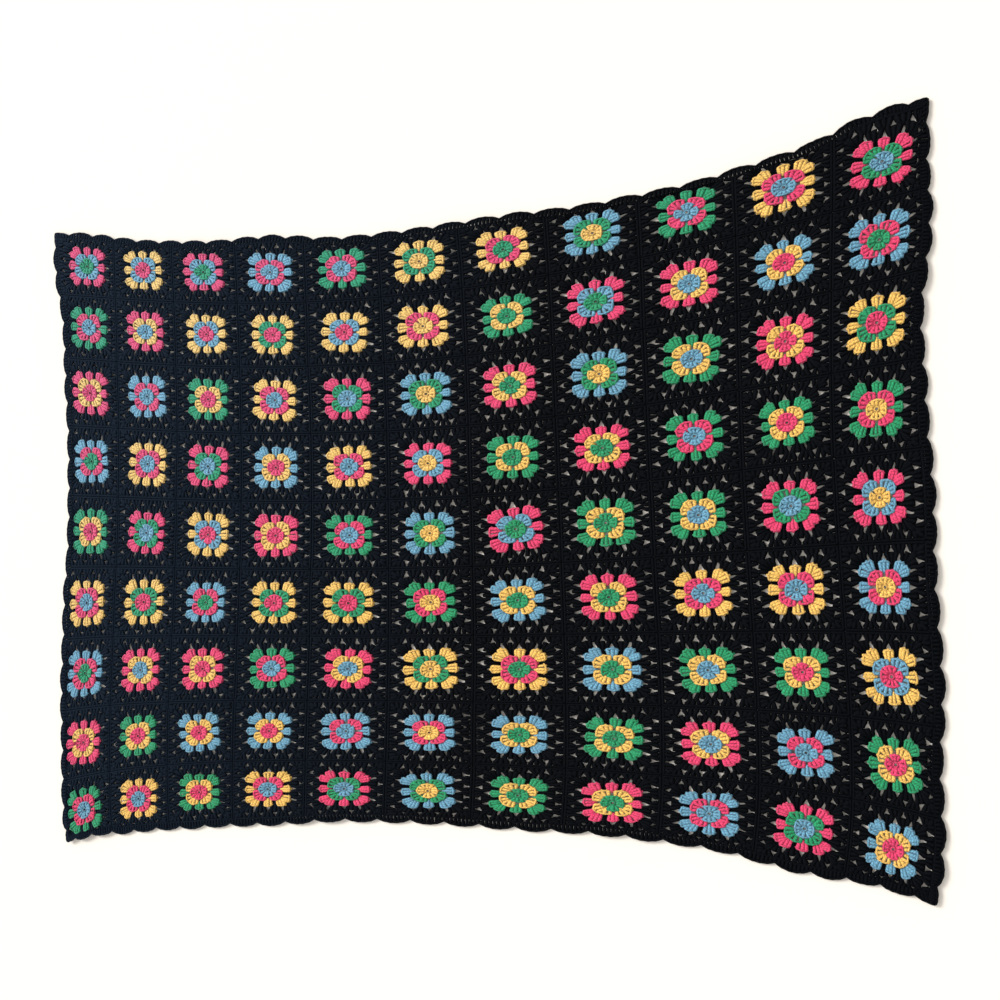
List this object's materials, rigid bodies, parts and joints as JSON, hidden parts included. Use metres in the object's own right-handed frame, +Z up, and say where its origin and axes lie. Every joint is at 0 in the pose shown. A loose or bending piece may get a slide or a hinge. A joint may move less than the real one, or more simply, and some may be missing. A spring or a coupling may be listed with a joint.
{
  "type": "granny square blanket",
  "caption": "Crocheted blanket of small colourful squares with black outer rounds and a scalloped black edging, lying flat and slightly pulled out of square.",
  "frame": {"origin": "middle of the blanket's outline box, on the surface it lies on", "axes": "+X along the long side, towards the wider end; +Y across the short side; +Z up, out of the right side of the crochet"},
  "size_m": [1.4633, 1.0684, 0.0073],
  "materials": {
    "squares": "matt crocheted yarn, black with pink, yellow, green and blue centres",
    "edging": "matt black crocheted yarn"
  },
  "bodies": {
    "root": {"panel": "squares", "shell_edging": "edging"}
  },
  "joints": []
}
